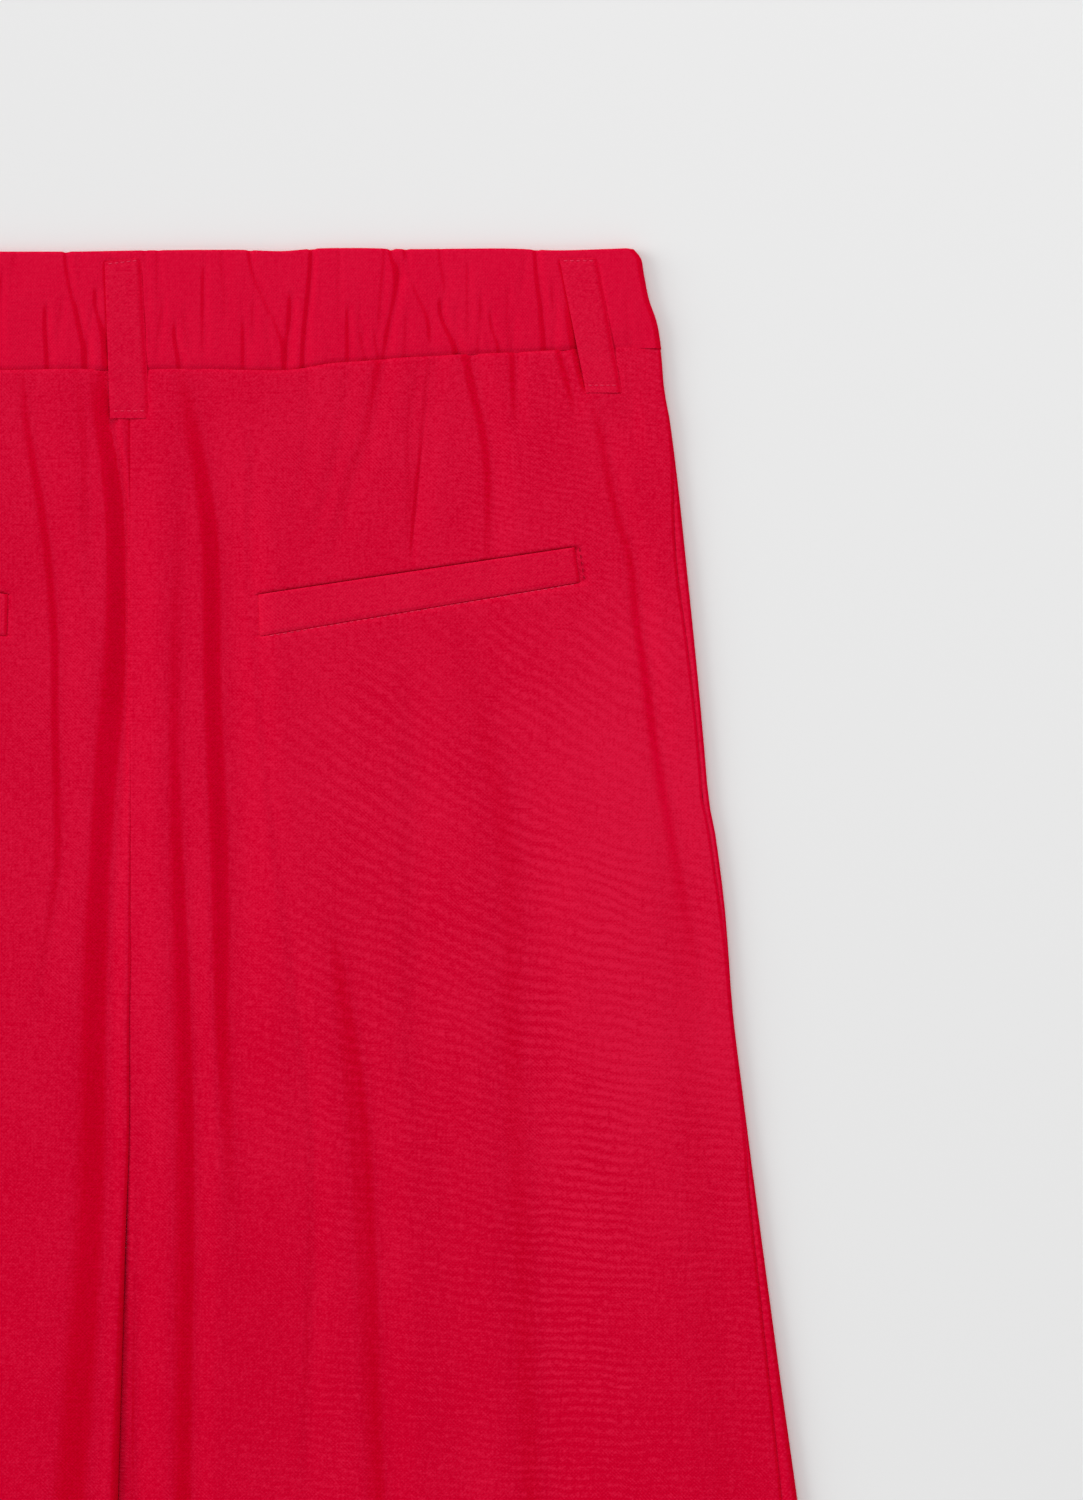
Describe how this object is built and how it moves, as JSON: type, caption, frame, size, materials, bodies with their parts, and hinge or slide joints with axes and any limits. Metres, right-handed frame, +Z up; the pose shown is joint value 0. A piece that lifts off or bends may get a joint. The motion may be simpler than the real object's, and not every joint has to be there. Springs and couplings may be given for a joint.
{
  "type": "palazzo pants",
  "caption": "Wide-leg palazzo pants in plain-weave crimson linen, laid flat with the back up, with a gathered elastic back waistband, belt loops and slanted back welt pockets.",
  "frame": {"origin": "on the surface that the garment lies on, under the middle of its bounding box: on the centre line, half way between the waist and the hems", "axes": "+X towards the wearer's right, which is right in the picture; +Y up the garment from the hems to the waistband; +Z up off the surface, out of the garment's back"},
  "size_m": [0.66, 1.0505, 0.0086],
  "materials": {
    "linen_panels": "matt plain-weave linen, crimson, with fine slubs",
    "linen_waistband": "matt plain-weave linen over elastic, gathered, crimson",
    "linen_trim": "matt plain-weave linen, folded and pressed, edge-stitched, crimson"
  },
  "bodies": {
    "root": {"back_right": "linen_panels", "back_left": "linen_panels", "front_right": "linen_panels", "front_left": "linen_panels", "waistband_back": "linen_waistband", "waistband_front": "linen_waistband", "belt_loop_back": "linen_trim", "belt_loop_side_right": "linen_trim", "belt_loop_side_left": "linen_trim", "pocket_welt_right": "linen_trim", "pocket_welt_left": "linen_trim"}
  },
  "joints": []
}
